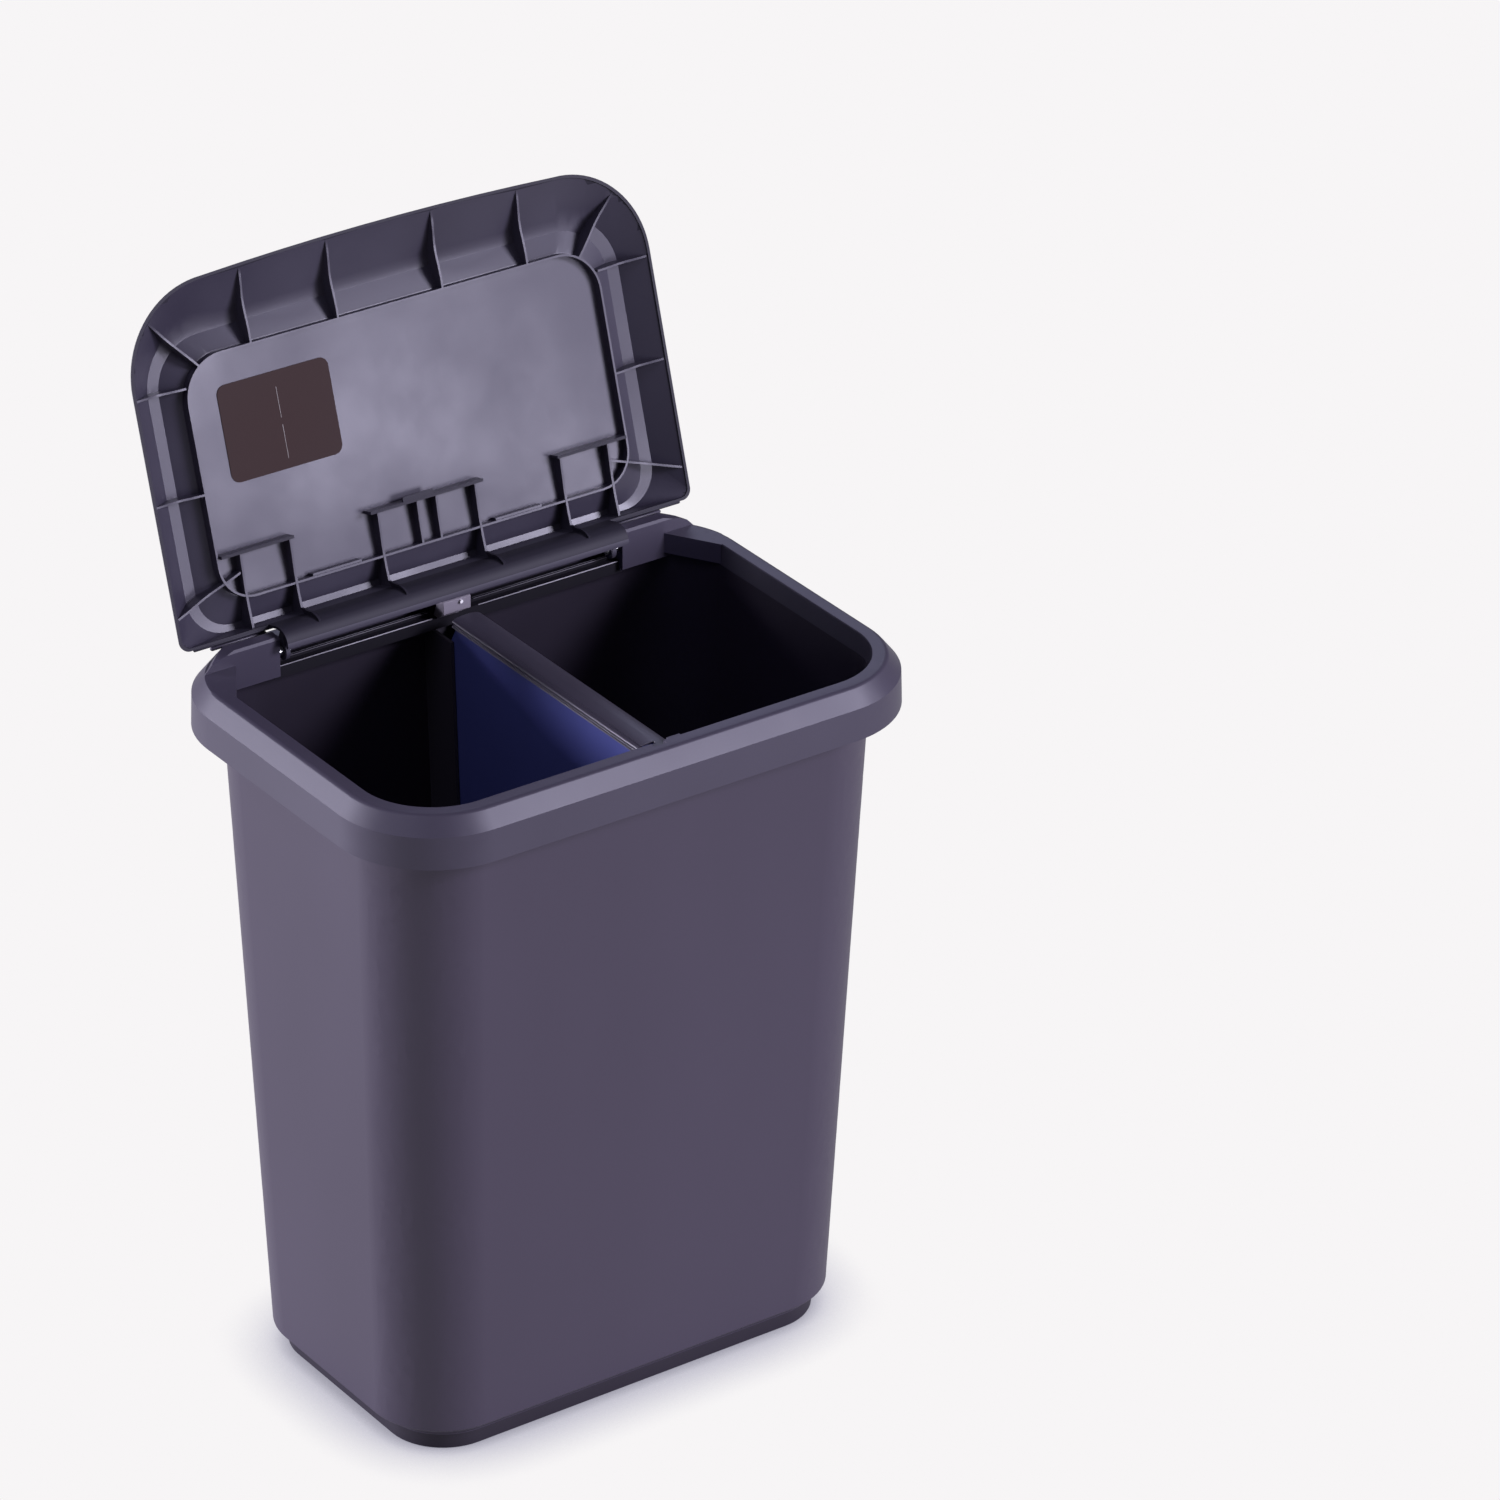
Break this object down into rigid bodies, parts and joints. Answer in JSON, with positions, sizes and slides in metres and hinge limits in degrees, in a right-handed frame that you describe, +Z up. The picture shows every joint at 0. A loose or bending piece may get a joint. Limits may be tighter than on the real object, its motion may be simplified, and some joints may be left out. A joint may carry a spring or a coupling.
{
  "type": "double recycling bin",
  "caption": "Tapered plastic recycling bin with a snap-over top frame, a hinged dished lid and a lift-out divider that makes separate compartments",
  "frame": {"origin": "centre of the flat foot, on the floor", "axes": "+Z up, +X across the width along the hinge line, +Y to the back where the hinge is, front faces -Y; the lid is at its open stop at rest"},
  "size_m": [0.46, 0.3821, 0.8096],
  "materials": {
    "tub_plastic": "fine satin texture, moulded",
    "frame_plastic": "satin, moulded",
    "lid_plastic": "satin, moulded, thin wall",
    "bracket_plastic": "satin, moulded",
    "steel_pin": "bright drawn wire",
    "label_film": "dark brown adhesive label, blank",
    "divider_plastic": "navy, satin"
  },
  "bodies": {
    "tub": {"tub": "tub_plastic", "rear_guide": "tub_plastic", "front_guide": "tub_plastic"},
    "top_frame": {"top_frame": "frame_plastic", "rear_bracket": "bracket_plastic", "bracket_pin": "steel_pin", "hinge_pin_left": "steel_pin", "hinge_pin_right": "steel_pin"},
    "lid": {"lid": "lid_plastic", "lid_label": "label_film"},
    "divider": {"divider_bar": "frame_plastic", "divider_panel": "divider_plastic"}
  },
  "joints": [
    {"name": "frame_lift", "type": "slide", "parent": "tub", "child": "top_frame", "axis": [0, 0, 1], "range_m": [0, 0.56]},
    {"name": "lid_hinge", "type": "hinge", "parent": "top_frame", "child": "lid", "pos_m": [0, 0.1267, 0.5437], "axis": [-1, 0, 0], "range_deg": [-107, 0]},
    {"name": "divider_lift", "type": "slide", "parent": "top_frame", "child": "divider", "axis": [0, 0, 1], "range_m": [0, 0.58]}
  ]
}
